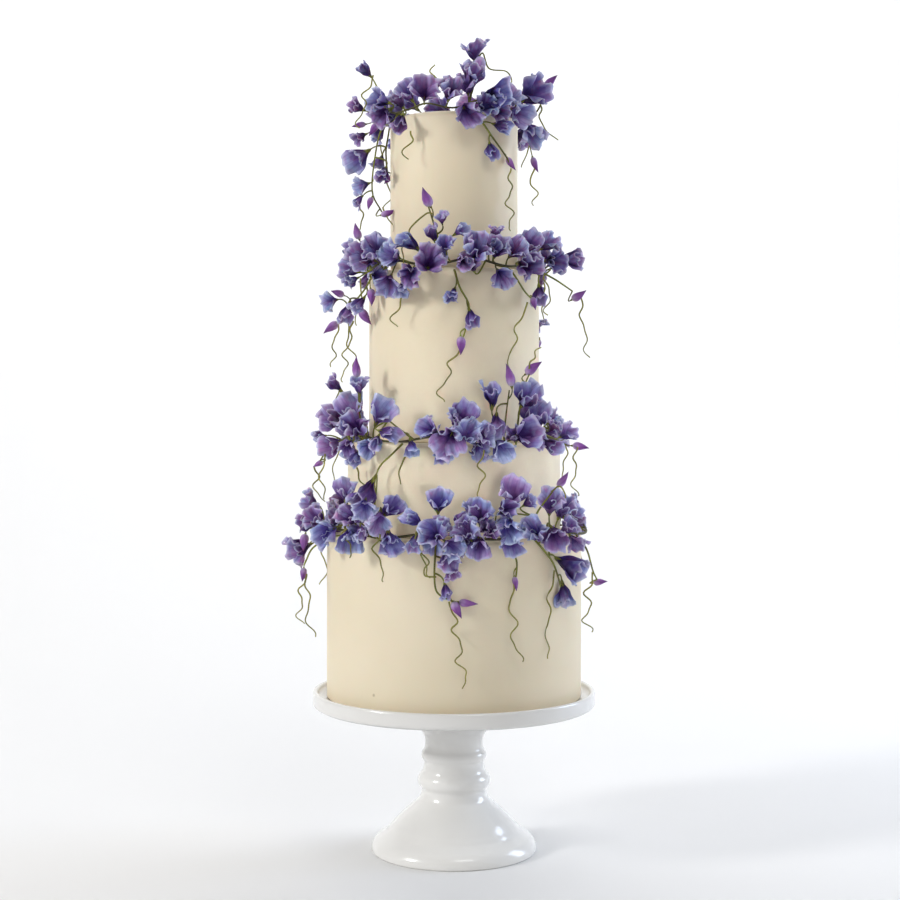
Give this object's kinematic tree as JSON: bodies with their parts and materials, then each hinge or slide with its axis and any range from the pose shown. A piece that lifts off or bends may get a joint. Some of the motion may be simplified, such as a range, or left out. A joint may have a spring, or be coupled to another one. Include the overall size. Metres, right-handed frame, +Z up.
{
  "type": "tiered wedding cake",
  "caption": "Tall tiered wedding cake in smooth ivory fondant on a white turned pedestal stand, with trailing garlands of violet and blue sugar sweet peas round each rim.",
  "frame": {"origin": "middle of the stand's foot, on the surface that it stands on", "axes": "+Z up along the cake's axis, -Y towards the front of the cake, +X to its right"},
  "size_m": [0.4, 0.3807, 0.9705],
  "materials": {
    "stand_glaze": "gloss",
    "fondant": "matte",
    "stems": "satin",
    "petals": "matte"
  },
  "bodies": {
    "root": {"cake_stand": "stand_glaze", "tier_1": "fondant", "tier_2": "fondant", "tier_3": "fondant", "tier_4": "fondant", "vine_1": "stems", "vine_2": "stems", "vine_3": "stems", "vine_4": "stems", "garland_1_spray_01": "petals", "garland_1_spray_02": "petals", "garland_1_spray_03": "petals", "garland_1_spray_04": "petals", "garland_1_spray_05": "petals", "garland_1_spray_06": "petals", "garland_1_spray_07": "petals", "garland_1_spray_08": "petals", "garland_1_spray_09": "petals", "garland_1_spray_10": "petals", "garland_1_spray_11": "petals", "garland_1_spray_12": "petals", "garland_2_spray_01": "petals", "garland_2_spray_02": "petals", "garland_2_spray_03": "petals", "garland_2_spray_04": "petals", "garland_2_spray_05": "petals", "garland_2_spray_06": "petals", "garland_2_spray_07": "petals", "garland_2_spray_08": "petals", "garland_2_spray_09": "petals", "garland_2_spray_10": "petals", "garland_2_spray_11": "petals", "garland_2_spray_12": "petals", "garland_3_spray_01": "petals", "garland_3_spray_02": "petals", "garland_3_spray_03": "petals", "garland_3_spray_04": "petals", "garland_3_spray_05": "petals", "garland_3_spray_06": "petals", "garland_3_spray_07": "petals", "garland_3_spray_08": "petals", "garland_3_spray_09": "petals", "garland_3_spray_10": "petals", "garland_3_spray_11": "petals", "garland_3_spray_12": "petals", "garland_4_spray_01": "petals", "garland_4_spray_02": "petals", "garland_4_spray_03": "petals", "garland_4_spray_04": "petals", "garland_4_spray_05": "petals", "garland_4_spray_06": "petals", "garland_4_spray_07": "petals", "garland_4_spray_08": "petals", "garland_4_spray_09": "petals", "garland_4_spray_10": "petals", "garland_4_spray_11": "petals", "garland_4_spray_12": "petals"}
  },
  "joints": []
}
